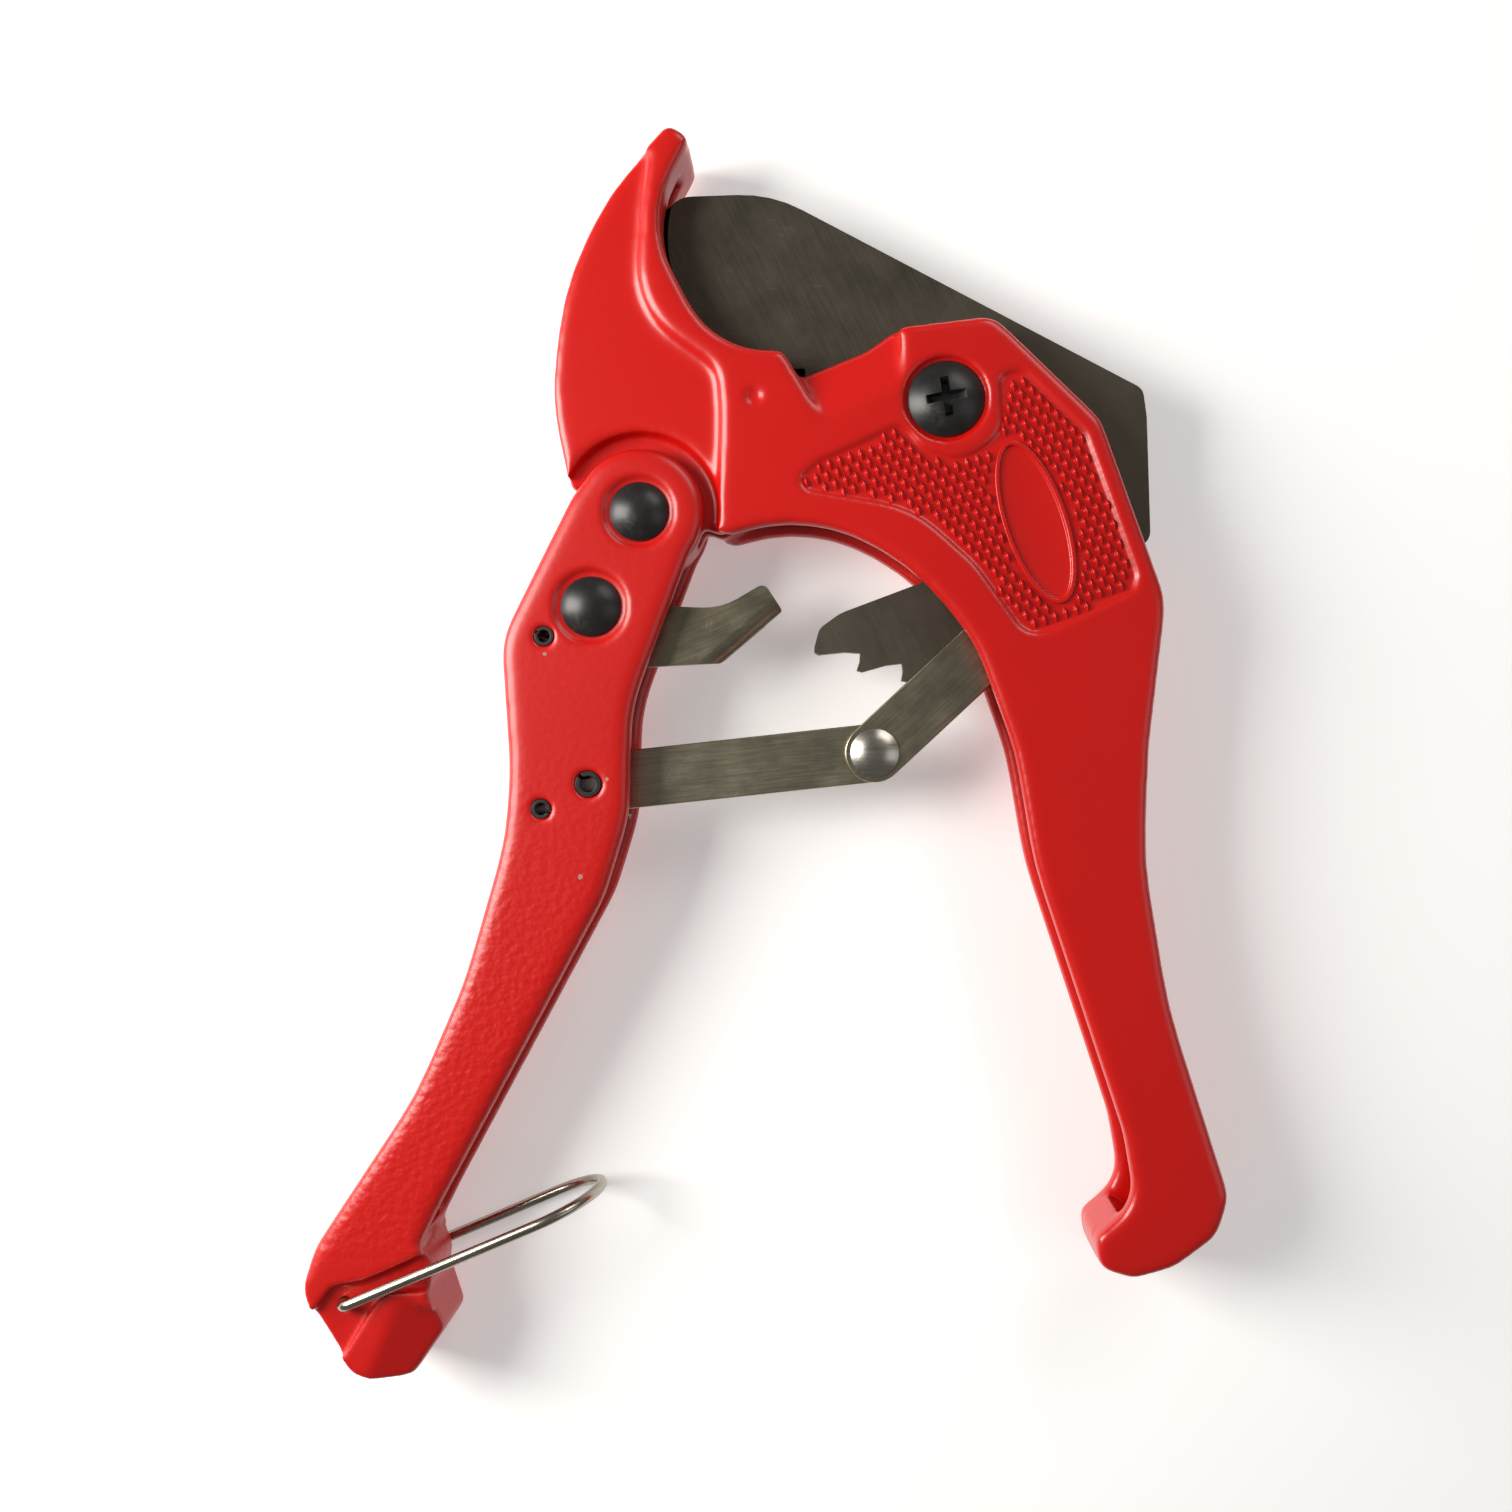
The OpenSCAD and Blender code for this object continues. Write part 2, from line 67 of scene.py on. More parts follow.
class Value:
    """A value in a finish that can be written into sums."""

    def __init__(self, finish, socket):
        self.finish = finish
        self.socket = socket

    def sum(self, operation, a, b, clamp=False):
        return self.finish.node("Math", {"operation": operation, "use_clamp": clamp}, {0: a, 1: b})

    def __add__(self, other):
        return self.sum("ADD", self, other)

    __radd__ = __add__

    def __sub__(self, other):
        return self.sum("SUBTRACT", self, other)

    def __rsub__(self, other):
        return self.sum("SUBTRACT", other, self)

    def __mul__(self, other):
        return self.sum("MULTIPLY", self, other)

    __rmul__ = __mul__

    def __truediv__(self, other):
        return self.sum("DIVIDE", self, other)

    def __gt__(self, other):
        return self.sum("GREATER_THAN", self, other)

    def most(self, other):
        return self.sum("MAXIMUM", self, other)

    def clamped(self):
        return self.sum("ADD", self, 0, clamp=True)


class Finish:
    """One procedural finish: a Principled surface and the patterns that feed it."""

    def __init__(self, name):
        self.material = bpy.data.materials.new(name)
        self.material.use_nodes = True
        self.tree = self.material.node_tree
        self.surface = self.tree.nodes["Principled BSDF"]
        self.place = self.node("TexCoord", out="Object")

    def node(self, kind, settings=None, inputs=None, out=0):
        made = self.tree.nodes.new("ShaderNode" + kind)
        for key, value in (settings or {}).items():
            setattr(made, key, value)
        self.feed(made, inputs or {})
        return Value(self, made.outputs[out])

    def feed(self, made, inputs):
        for key, value in inputs.items():
            if isinstance(value, Value):
                self.tree.links.new(value.socket, made.inputs[key])
            else:
                made.inputs[key].default_value = value

    def looks(self, **inputs):
        self.feed(self.surface, {key.replace("_", " "): value for key, value in inputs.items()})

    def noise(self, scale, detail=2.0, roughness=0.5, place=None):
        return self.node(
            "TexNoise", None,
            {"Vector": place or self.place, "Scale": scale, "Detail": detail, "Roughness": roughness},
        )

    def stretched(self, scale, turn=0.0, centre=(0, 0, 0)):
        turned_back = self.node(
            "Mapping", {"vector_type": "TEXTURE"},
            {"Vector": self.place, "Location": centre, "Rotation": (0, 0, math.radians(turn))},
        )
        return self.node("Mapping", None, {"Vector": turned_back, "Scale": scale})

    def mixed(self, factor, a, b):
        return self.node("Mix", {"data_type": "RGBA"}, {0: factor, 6: a, 7: b}, out=2)

    def near(self, point, reach):
        """1 at the point, falling to 0 at that reach."""
        away = self.node("VectorMath", {"operation": "DISTANCE"}, {0: self.place, 1: point}, out="Value")
        return (1 - away / reach).clamped()

    def chipped(self, chips):
        """1 on the bare metal of each chip: a ragged patch round a place, with its reach in millimetres."""
        ragged = self.noise(1100, detail=3) * 0.9
        bare = None
        for place, reach in chips:
            patch = (self.near(place, reach * MM) - ragged) > 0.02
            bare = patch if bare is None else bare.most(patch)
        return bare

    def bumps(self, height, depth):
        return self.node("Bump", None, {"Height": height, "Distance": depth, "Strength": 1.0})


bare_metal = paint("A87F6C")
peel_depth = 0.012


def powder_coat(name, chips):
    """Red powder coat with a faint orange peel, chipped at the given places."""
    coat = Finish(name)
    drift = coat.noise(22, detail=3)
    fine = coat.noise(1500, detail=2)
    peel = coat.noise(620, detail=1.5, roughness=0.4)
    red = coat.mixed(drift, paint("C00D09"), paint("D0140D"))
    bare = coat.chipped(chips)
    coat.looks(
        Base_Color=coat.mixed(bare, red, bare_metal),
        Roughness=(0.27 + 0.08 * fine + 0.2 * bare).clamped(),
        Coat_Weight=0.2,
        Coat_Roughness=0.15,
        Normal=coat.bumps(peel + 0.25 * fine - 1.5 * bare, peel_depth * MM),
    )
    return coat.material


def only(piece):
    """Selects the piece and nothing else."""
    bpy.ops.object.select_all(action="DESELECT")
    piece.select_set(True)
    bpy.context.view_layer.objects.active = piece


def edit(piece):
    """Opens the piece for mesh editing, with all of it selected."""
    only(piece)
    bpy.ops.object.mode_set(mode="EDIT")
    bpy.ops.mesh.select_all(action="SELECT")


def done():
    bpy.ops.object.mode_set(mode="OBJECT")
    return bpy.context.object


def modified(piece, kind, **settings):
    """The piece with one modifier applied."""
    only(piece)
    step = piece.modifiers.new(kind.title(), kind)
    for key, value in settings.items():
        setattr(step, key, value)
    bpy.ops.object.modifier_apply(modifier=step.name)
    return piece


def copied(node, name):
    """The node's own shape as a new welded piece, ready to be worked on."""
    piece = bpy.data.objects.new(name, frame["nodes"][node].data.copy())
    bpy.context.collection.objects.link(piece)
    piece.data.materials.clear()
    only(piece)
    bpy.ops.mesh.customdata_custom_splitnormals_clear()
    edit(piece)
    bpy.ops.mesh.remove_doubles(threshold=0.001 * MM)
    return done()


def fitted(piece, finish, node=None, body=None):
    """Puts the finish on the piece and fixes it to the body that its node belongs to."""
    record = frame["record"]
    if node:
        body = next(b for b, nodes in record["behaviour"]["bodies"].items() if node in nodes)
        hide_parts(node)
    piece.data.materials.clear()
    piece.data.materials.append(finish)
    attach(piece, body)
    return piece


def corner_arc(before, corner, after):
    """The points of one outline corner [x, y, radius]."""
    at = Vector(corner[:2])
    u = (Vector(before[:2]) - at).normalized()
    v = (Vector(after[:2]) - at).normalized()
    half = u.angle(v) / 2
    if corner[2] == 0 or half > 1.56:
        return [at]
    middle = at + (u + v).normalized() * corner[2] / math.sin(half)
    start = at + u * corner[2] / math.tan(half) - middle
    turn = (math.pi - 2 * half) * math.copysign(1, u.cross(v))
    steps = max(2, math.ceil(abs(turn) / 0.16))
    return [middle + Matrix.Rotation(-turn * i / steps, 2) @ start for i in range(steps + 1)]


def outline(corners):
    """A closed line through corners [x, y, radius]."""
    around = [corners[-1], *corners, corners[0]]
    return [tuple(p) for i in range(len(corners)) for p in corner_arc(*around[i : i + 3])]


def line_distance(points, line):
    """How far points lie from a closed line, in the line's own units."""
    best = np.full(len(points), 1e9)
    for a, b in zip(line, [*line[1:], line[0]]):
        a, b = np.array(a), np.array(b)
        along = np.clip((points - a) @ (b - a) / ((b - a) @ (b - a)), 0, 1)
        best = np.minimum(best, np.linalg.norm(points - a - along[:, None] * (b - a), axis=1))
    return best


def inside(points, line):
    """Which points lie inside a closed line."""
    within = np.zeros(len(points), bool)
    for (ax, ay), (bx, by) in zip(line, [*line[1:], line[0]]):
        crosses = (ay > points[:, 1]) != (by > points[:, 1])
        level = np.where(crosses, (bx - ax) * (points[:, 1] - ay) / ((by - ay) or 1e-9) + ax, -1e9)
        within ^= crosses & (points[:, 0] < level)
    return within


def vertex_places(piece):
    """The piece's vertices, in millimetres from the middle of the blade's pivot."""
    co = np.zeros(len(piece.data.vertices) * 3)
    piece.data.vertices.foreach_get("co", co)
    return (co.reshape(-1, 3) - np.array(blade_centre)) / MM


def ring_distance(points, centre, radius):
    """How far points lie from a circle."""
    return np.abs(np.linalg.norm(points[:, :2] - np.array(centre[:2]), axis=1) - radius)


def cast(piece, rounding, crisp):
    """Gives a piece the soft edges of a casting; crisp is the distance to what stays sharp."""
    modified(piece, "REMESH", mode="VOXEL", voxel_size=cast_grain * MM)
    modified(piece, "SMOOTH", factor=0.5, iterations=11)
    freedom = np.clip((crisp(vertex_places(piece)) - 1.0) / 1.6, 0, 1)
    group = piece.vertex_groups.new(name="rounding")
    levels = np.round(freedom * 8).astype(int)
    for level in range(1, 9):
        group.add(np.nonzero(levels == level)[0].tolist(), level / 8, "REPLACE")
    modified(piece, "SMOOTH", factor=0.5, iterations=rounding, vertex_group="rounding")
    faces = sum(len(p.vertices) - 2 for p in piece.data.polygons)
    modified(piece, "DECIMATE", ratio=min(1, cast_triangles / faces))
    piece.vertex_groups.clear()
    only(piece)
    bpy.ops.object.shade_smooth()
    return piece


panel = outline([
    (-26.2, -13.9, 1.2), (-22.8, -11, 2), (-7.4, -4, 3), (-4.4, -8.6, 5), (3, -11, 7), (10, -6, 6),
    (9.2, 3.6, 2), (12.9, 5.6, 3), (24.6, -6, 4), (33.8, -31.6, 3), (33, -34.4, 2), (14.6, -43, 4.5),
    (5, -29.5, 18), (-6, -19.6, 20), (-24.8, -16.2, 2),
])
screw_sink_radius = 7.45
nut_sink_radius = 6.6
ear_recess_radius = 14.5
handle_centre = joint_at["handle_pivot"]
dimple, dimple_radius = (-34.2, 0.7), 1.6
slot_zone, far = 4.5, 9
body_rounding, handle_rounding, cast_triangles = 46, 130, 190000


def body_crisp(places):
    """How far each place is from the edges of the body that stay sharp."""
    plane, high = places[:, :2], places[:, 2]
    front = np.minimum(line_distance(plane, panel), ring_distance(plane, (0, 0), screw_sink_radius))
    front = np.minimum(front, ring_distance(plane, dimple, dimple_radius))
    back = ring_distance(plane, (0, 0), nut_sink_radius)
    ear = (handle_centre - blade_centre) / MM
    ears = 1.5 + 0.5 * ring_distance(plane, ear, ear_recess_radius)
    slot = np.where(np.abs(high) < slot_zone, 1.2, far)
    return np.minimum(np.minimum(np.where(high > 0, front, back), ears), slot)


body = cast(copied("frame_casting", "body_casting"), body_rounding, body_crisp)
body_red = powder_coat(
    "red_powder_coat",
    [(spot(-14, -33, 10), 0.5), (spot(30.2, -132, 10), 0.6), (spot(6.5, -48, 10), 0.5)],
)
fitted(body, body_red, node="frame_casting")

# ---- Knurled panel and plain oval ----
# The recess beside the screw is cast with a field of long leaning diamonds as a thumb grip, and an oval dish
# that carries no mark. Both are of the body's own metal and coat.
diamond_long, diamond_wide, diamond_high = 3.9, 1.75, 0.8
diamond_ridge = (0.1, 0.3, 1)
diamond_step, row_step = 1.95, 1.8
grid_centre, grid_columns, grid_rows, rim_gap = (4.0, -19.0), 24, 26, 0.75
lean = math.radians(17)
oval_centre, oval_lean = (15.8, -22.1), math.radians(18.5)
oval_long, oval_wide, oval_lip = 14.4, 4.9, 0.7
oval_rise, oval_dish, oval_sink = 0.15, 0.55, 0.3
panel_floor = half_thickness - panel_depth


def turned_by(x, y, angle):
    """The point x, y turned anticlockwise about the middle."""
    return (x * math.cos(angle) - y * math.sin(angle), x * math.sin(angle) + y * math.cos(angle))


def diamond_places():
    """Every place on the leaning grid that has a whole diamond inside the panel, clear of the oval."""
    grid = [
        turned_by((i + 0.5 * (j % 2)) * diamond_step, j * row_step, lean)
        for i in range(-grid_columns, grid_columns + 1)
        for j in range(-grid_rows, grid_rows + 1)
    ]
    points = np.array(grid) + np.array(grid_centre)
    free = inside(points, panel) & (line_distance(points, panel) > rim_gap)
    off_x, off_y = points[:, 0] - oval_centre[0], points[:, 1] - oval_centre[1]
    along = -off_x * math.sin(oval_lean) + off_y * math.cos(oval_lean)
    across = off_x * math.cos(oval_lean) + off_y * math.sin(oval_lean)
    free &= (along / (oval_long + 1.6)) ** 2 + (across / (oval_wide + 1.5)) ** 2 > 1
    return points[free]


bpy.ops.mesh.primitive_cylinder_add(vertices=4, radius=1, depth=1, location=(0, 0, 0))
diamond = bpy.context.object
edit(diamond)
bpy.ops.transform.resize(
    value=(diamond_wide / 2 * MM, diamond_long / 2 * MM, 2 * diamond_high * MM), center_override=(0, 0, 0)
)
bpy.ops.mesh.select_all(action="DESELECT")
bpy.ops.mesh.select_mode(type="FACE")
done()
for face in diamond.data.polygons:
    face.select = face.normal.z > 0.9
only(diamond)
bpy.ops.object.mode_set(mode="EDIT")
bpy.ops.transform.resize(value=diamond_ridge, center_override=(0, 0, 0))
done()
modified(diamond, "BEVEL", width=0.04 * MM, segments=1, limit_method="ANGLE", angle_limit=math.radians(20))
only(diamond)
bpy.ops.object.shade_smooth_by_angle(angle=math.radians(50))
diamonds = []
for x, y in diamond_places():
    copy = bpy.data.objects.new("diamond", diamond.data.copy())
    bpy.context.collection.objects.link(copy)
    copy.data.transform(Matrix.Translation(spot(x, y, panel_floor)) @ Matrix.Rotation(lean, 4, "Z"))
    diamonds.append(copy)
bpy.data.objects.remove(diamond)
only(diamonds[0])
for copy in diamonds:
    copy.select_set(True)
bpy.ops.object.join()
grip = bpy.context.object
grip.name = "panel_diamonds"
fitted(grip, body_red, body="frame")

bpy.ops.mesh.primitive_circle_add(vertices=96, radius=1, fill_type="NGON", location=(0, 0, 0))
oval = bpy.context.object
oval.name = "panel_oval"
edit(oval)
bpy.ops.transform.resize(
    value=((oval_wide + oval_lip) * MM, (oval_long + oval_lip) * MM, 1), center_override=(0, 0, 0)
)
bpy.ops.mesh.extrude_region_move(TRANSFORM_OT_translate={"value": (0, 0, (panel_depth + oval_rise) * MM)})
bpy.ops.mesh.inset(thickness=oval_lip * MM)
bpy.ops.mesh.extrude_region_move(TRANSFORM_OT_translate={"value": (0, 0, -oval_dish * MM)})
bpy.ops.transform.resize(value=(0.94, 0.98, 1), center_override=(0, 0, 0))
done()
modified(oval, "BEVEL", width=0.14 * MM, segments=3, limit_method="ANGLE", angle_limit=math.radians(30))
oval.data.transform(
    Matrix.Translation(spot(*oval_centre, panel_floor - oval_sink)) @ Matrix.Rotation(oval_lean, 4, "Z")
)
edit(oval)
bpy.ops.mesh.normals_make_consistent(inside=False)
done()
bpy.ops.object.shade_smooth_by_angle(angle=math.radians(40))
fitted(oval, body_red, body="frame")

# ---- Blade and its stud ----
# One plate of hardened steel, ground dark and dull with a finer band along the cutting edge, its tail cut
# into ratchet teeth. The stud that drives it is a plain pin pressed through the tail.


def eased(node, name, width, segments=2, angle=30):
    """The node's shape with its sheared edges broken."""
    piece = copied(node, name)
    edit(piece)
    bpy.ops.mesh.dissolve_limited(angle_limit=math.radians(0.6))
    done()
    modified(
        piece, "BEVEL", width=width * MM, segments=segments, limit_method="ANGLE",
        angle_limit=math.radians(angle), use_clamp_overlap=True,
    )
    edit(piece)
    bpy.ops.mesh.remove_doubles(threshold=0.001 * MM)
    done()
    bpy.ops.object.shade_smooth_by_angle(angle=math.radians(38))
    return modified(piece, "WEIGHTED_NORMAL", keep_sharp=True, weight=100)


def scratched_steel(name, dark, light, rough, turn=0.0, specks=0.0, metallic=0.9, grain=0.5, ground=None):
    """Plated or ground steel: fine grain one way, a few scratches, and small bright specks."""
    steel = Finish(name)
    lines = steel.noise(1.0, detail=3, roughness=0.6, place=steel.stretched((120, 2600, 600), turn))
    cross = steel.noise(1.0, detail=2, place=steel.stretched((150, 5200, 800), turn + 58))
    cloud = steel.noise(130, detail=5, roughness=0.6)
    scratch = ((cross - 0.66) * 9).clamped() * ((cloud - 0.42) * 6).clamped()
    dots = steel.node("TexVoronoi", None, {"Vector": steel.place, "Scale": 520.0})
    dot_on = steel.noise(90, detail=1)
    speck = ((0.1 - dots) * 30).clamped() * ((dot_on - 0.56) * 20).clamped() * specks
    tone = (grain * lines + (1 - grain) * cloud + 0.5 * scratch + speck).clamped()
    colour = steel.mixed(tone, paint(dark), paint(light))
    if ground:
        way, start = ground
        side = steel.node("VectorMath", {"operation": "DOT_PRODUCT"}, {0: steel.place, 1: way}, out="Value")
        across = ((side - start) * 1200).clamped()
        colour = steel.mixed(across * 0.55, colour, paint(light, 0.9))
    steel.looks(
        Base_Color=colour,
        Metallic=metallic,
        Roughness=(rough + 0.22 * (cloud - 0.5) + 0.12 * (lines - 0.5) - 0.12 * speck).clamped(),
        Normal=steel.bumps(0.6 * lines + 0.3 * cloud + 0.8 * scratch, 0.006 * MM),
    )
    return steel.material


ground_side = Vector((0.838, -0.545, 0))
ground_from = spot(0.4, 18.6).dot(ground_side)
blade_steel = scratched_steel(
    "ground_blade_steel", "3C3831", "6E675B", 0.5, turn=-62, specks=1.0, ground=(ground_side, ground_from)
)
fitted(eased("blade", "blade_plate", 0.18), blade_steel, node="blade")
fitted(eased("link_stud", "drive_stud", 0.3), blade_steel, node="link_stud")

# ---- Blade pivot ----
# A hardened sleeve in the head, a thin washer each side of the blade, a black pan-head screw with a cross
# recess, and on the back a split washer and a chamfered hex nut in a counterbore.


def turned(name, centre, profile, closed=False, sides=72):
    """A piece turned on a lathe: profile is (radius, height) pairs in millimetres from the bottom up."""
    first_radius, first_height = profile[0]
    bpy.ops.mesh.primitive_circle_add(
        vertices=sides, radius=first_radius * MM, fill_type="NOTHING" if closed else "NGON",
        location=(0, 0, 0),
    )
    piece = bpy.context.object
    piece.name = name
    edit(piece)
    bpy.ops.transform.translate(value=(0, 0, first_height * MM))
    stations = [*profile, profile[0]] if closed else profile
    for (r0, z0), (r1, z1) in zip(stations, stations[1:]):
        move = {"value": (0, 0, (z1 - z0) * MM)}
        if closed:
            bpy.ops.mesh.extrude_edges_move(TRANSFORM_OT_translate=move)
        else:
            bpy.ops.mesh.extrude_region_move(TRANSFORM_OT_translate=move)
        bpy.ops.transform.resize(value=(r1 / r0, r1 / r0, 1), center_override=(0, 0, z1 * MM))
    bpy.ops.mesh.select_all(action="SELECT")
    bpy.ops.mesh.remove_doubles(threshold=0.004 * MM)
    bpy.ops.mesh.normals_make_consistent(inside=False)
    done()
    piece.data.transform(Matrix.Translation(centre))
    bpy.ops.object.shade_smooth_by_angle(angle=math.radians(32))
    return piece


def dome_profile(radius, rim, height, foot, steps=9):
    """A low dome from its rim up: a short upright rim, then an even curve to a small flat."""
    ball = (radius**2 + height**2) / (2 * height)
    tilt = math.asin(min(1, radius / ball))
    points = [(radius - 0.25, foot), (radius, foot + 0.2), (radius, foot + rim)]
    for i in range(1, steps + 1):
        a = tilt * (1 - i / (steps + 0.6))
        points.append((ball * math.sin(a), foot + rim + ball * math.cos(a) - ball + height))
    return points


def pipe_profile(outer, inner, low, high, ease=0.15):
    return [
        (inner, low + ease), (inner + ease, low), (outer - ease, low), (outer, low + ease),
        (outer, high - ease), (outer - ease, high), (inner + ease, high), (inner, high - ease),
    ]


def black_oxide(name, centre, rough=0.38):
    black = Finish(name)
    cloud = black.noise(420, detail=5, roughness=0.65)
    # Painted highlight: within 7 mm of centre the colour is lightened and the roughness lowered, in patches broken
    # up by noise. On the screw and rivet domes, centre lies where the key lamp's highlight falls.
    painted_highlight = ((black.near(centre, 7 * MM) - 0.5) * 1.2).clamped() * ((cloud - 0.5) * 7).clamped()
    black.looks(
        Base_Color=black.mixed(0.16 * cloud + 0.5 * painted_highlight, paint("111216"), paint("6A665E")),
        Metallic=0.2,
        Roughness=(rough + 0.2 * (cloud - 0.5) - 0.08 * painted_highlight).clamped(),
        Coat_Weight=0.1,
        Coat_Roughness=0.25,
        Normal=black.bumps(cloud, 0.02 * MM),
    )
    return black.material


sleeve_radius, shank_radius, screw_head_radius = 4.5, 2.9, 6.8
blade_half, washer_thickness = 1.5, 0.5
seat = half_thickness - 1.2
bright_steel = scratched_steel("bright_plate", "8E8A80", "D8D4C8", 0.3, specks=0.3, grain=0.6, metallic=1.0)
fitted(
    turned("pivot_bush", blade_centre, pipe_profile(sleeve_radius, shank_radius + 0.01, -4.8, seat), True),
    bright_steel, node="pivot_sleeve",
)
washer_low = blade_half + 0.025
washer = turned(
    "blade_shims", blade_centre,
    pipe_profile(9, sleeve_radius + 0.05, washer_low, washer_low + washer_thickness, 0.08), True,
)
lower = turned(
    "lower_shim", blade_centre,
    pipe_profile(9, sleeve_radius + 0.05, -washer_low - washer_thickness, -washer_low, 0.08), True,
)
only(washer)
lower.select_set(True)
bpy.ops.object.join()
fitted(washer, bright_steel, node="blade_washers")

screw = turned(
    "pivot_screw_black", blade_centre,
    [(shank_radius - 0.5, -9.6), (shank_radius, -9.1), (shank_radius, seat)]
    + dome_profile(screw_head_radius, 0.45, 2.6, seat, 12),
)
cross_long, cross_wide, cross_turn = 5.0, 0.9, math.radians(9)
wings = []
for quarter in range(2):
    bpy.ops.mesh.primitive_cube_add(size=2, location=(0, 0, 0))
    wing = bpy.context.object
    edit(wing)
    bpy.ops.transform.resize(value=(cross_long * MM, cross_wide * MM, 2.2 * MM), center_override=(0, 0, 0))
    done()
    for vertex in wing.data.vertices:
        if vertex.co.z < 0:
            vertex.co.x *= 0.5
            vertex.co.y *= 0.75
    wing.data.transform(
        Matrix.Translation(spot(0, 0, half_thickness + 1.55))
        @ Matrix.Rotation(cross_turn + quarter * math.pi / 2, 4, "Z")
    )
    modified(screw, "BOOLEAN", object=wing, operation="DIFFERENCE", solver="EXACT")
    wings.append(wing)
for wing in wings:
    bpy.data.objects.remove(wing)
modified(screw, "BEVEL", width=0.12 * MM, segments=2, limit_method="ANGLE", angle_limit=math.radians(35))
only(screw)
bpy.ops.object.shade_smooth_by_angle(angle=math.radians(38))
# The black finish paints a highlight on the screw's dome, 2.4 mm to the lower left of its middle.
fitted(screw, black_oxide("black_screw", spot(-2.4, -2.4, half_thickness + 1)), node="pivot_screw")
# The black finish paints a highlight patch on the middle of the nut's back face.
nut_black = black_oxide("black_nut", spot(0, 0, -9))
fitted(eased("pivot_nut", "pivot_nut_black", 0.35, 3), nut_black, node="pivot_nut")
fitted(eased("lock_washer", "split_washer", 0.12), bright_steel, node="lock_washer")

# ---- Moving handle ----
# The second red casting: two ears over the body's tongue, an open channel behind for the links, and at the
# end a recessed pad for the latch and a block with two bevelled faces. Its coat lies over a pebbled skin.
pawl_centre = joint_at["pawl_pivot"]
link_centre = joint_at["long_link_pivot"]
bail_centre = joint_at["bail_pivot"]
stop_at, anchor_at = (-72, -42), (-72.5, -73.1)
ridge_top, ridge_end = (-99.0, -163.0), (-104.5, -176.3)
pad = outline([
    (-120, -167.4, 0), (-113.8, -163.9, 1), (-110.8, -159.7, 3), (-105.6, -159, 3), (-97, -155.2, 3),
    (-88, -150, 0), (-88, -160, 0), (-101.6, -160.6, 4), (-109.4, -173.6, 3), (-120, -172, 0),
])
handle_piece = copied("moving_handle", "handle_casting")


def wedge(name, away, slope, reach):
    """A cutter whose lower face passes through the block's ridge and falls towards away."""
    a, b = Vector(ridge_top), Vector(ridge_end)
    along = (b - a).normalized()
    out = Vector((-along.y, along.x)) * away
    a, b = a - along * 1.5, b + along * 12
    corners = []
    for end, off in ((a, 0), (b, 0), (b, reach), (a, reach)):
        corner = end + out * off
        corners.append((corner.x, corner.y, half_thickness - slope * off))
    verts = [spot(*c) for c in corners] + [spot(c[0], c[1], half_thickness + 4) for c in corners]
    faces = [(0, 1, 2, 3), (7, 6, 5, 4), (0, 4, 5, 1), (1, 5, 6, 2), (2, 6, 7, 3), (3, 7, 4, 0)]
    mesh = bpy.data.meshes.new(name)
    mesh.from_pydata(verts, [], faces)
    cutter = bpy.data.objects.new(name, mesh)
    bpy.context.collection.objects.link(cutter)
    edit(cutter)
    bpy.ops.mesh.normals_make_consistent(inside=False)
    return done()


for name, away, slope, reach in (("left_bevel", -1, 0.07, 9), ("right_bevel", 1, 0.36, 26)):
    cutter = wedge(name, away, slope, reach)
    modified(handle_piece, "BOOLEAN", object=cutter, operation="DIFFERENCE", solver="EXACT")
    bpy.data.objects.remove(cutter)


def handle_crisp(places):
    """How far each place is from the edges of the handle that stay sharp."""
    plane = places[:, :2]
    crisp = np.full(len(places), float(far))
    for centre, radius in (
        (handle_centre, 6.4), (pawl_centre, 6.7), (link_centre, 2.4), (bail_centre, 1.0),
    ):
        crisp = np.minimum(crisp, ring_distance(plane, (centre - blade_centre) / MM, radius))
    for centre in (stop_at, anchor_at):
        crisp = np.minimum(crisp, ring_distance(plane, centre, 1.75))
    crisp = np.minimum(crisp, 0.8 + 0.3 * line_distance(plane, pad))
    block = 1.12 + np.clip((plane[:, 1] + 159) / 4, 0, 7)
    return np.minimum(crisp, block)


cast(handle_piece, handle_rounding, handle_crisp)


def pebbled_coat(name, chips):
    """The red coat over a pebbled skin, strongest on the grip and fading towards the ears."""
    coat = Finish(name)
    drift = coat.noise(22, detail=3)
    fine = coat.noise(1700, detail=2)
    pebble = coat.noise(720, detail=1.2, roughness=0.35)
    height = coat.node("SeparateXYZ", None, {0: coat.place}, out="Y")
    low = ((height - blade_centre.y + 0.158) * 160).clamped()
    grip_amount = ((blade_centre.y - 0.06 - height) * 22).clamped() * 0.85 * low + 0.15
    red = coat.mixed(drift, paint("BC0D09"), paint("CC130D"))
    bare = coat.chipped(chips)
    coat.looks(
        Base_Color=coat.mixed(bare, red, bare_metal),
        Roughness=(0.3 + 0.1 * fine + 0.2 * bare).clamped(),
        Coat_Weight=0.2,
        Coat_Roughness=0.18,
        Normal=coat.bumps((pebble + 0.15 * fine) * grip_amount - 0.8 * bare, 0.17 * MM),
    )
    return coat.material


handle_red = pebbled_coat(
    "red_pebbled_coat",
    [(spot(-65.4, -85.3, 10), 0.8), (spot(-71.8, -45.2, 10), 0.6), (spot(-60.6, -67.6, 10), 0.7)],
)
fitted(handle_piece, handle_red, node="moving_handle")

# ---- Rivets of the handle ----
# Two black oxide rivets with low domed heads, each headed over in its own shallow seat. The joint rivet
# holds the two castings together and the other carries the pawl.


